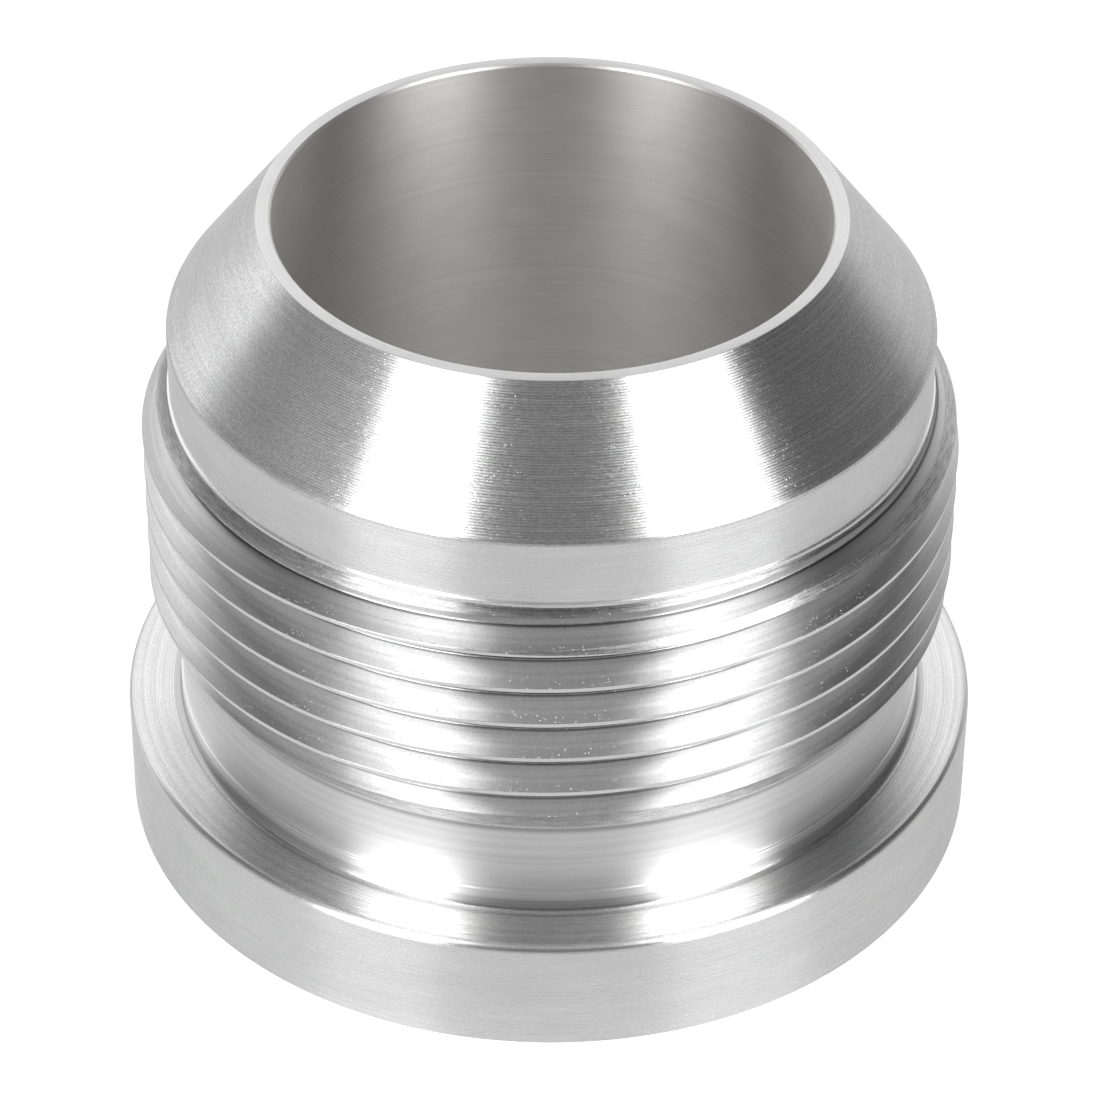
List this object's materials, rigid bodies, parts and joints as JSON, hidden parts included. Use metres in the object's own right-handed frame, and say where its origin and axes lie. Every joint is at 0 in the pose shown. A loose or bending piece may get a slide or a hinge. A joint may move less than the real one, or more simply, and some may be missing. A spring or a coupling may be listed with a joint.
{
  "type": "weld-on threaded fitting",
  "caption": "Round weld-on fitting turned in one piece: a cone-ended threaded neck with a through bore, an undercut and a plain round flange that is welded into a hole.",
  "frame": {"origin": "centre of the flange's flat base, on the axis of the bore", "axes": "+Z along the axis of the bore, from the base towards the cone and its rim"},
  "size_m": [0.0442, 0.0442, 0.0349],
  "materials": {
    "turned_aluminium": "bright turned, with fine rings from the tool"
  },
  "bodies": {
    "root": {"fitting_body": "turned_aluminium"}
  },
  "joints": []
}
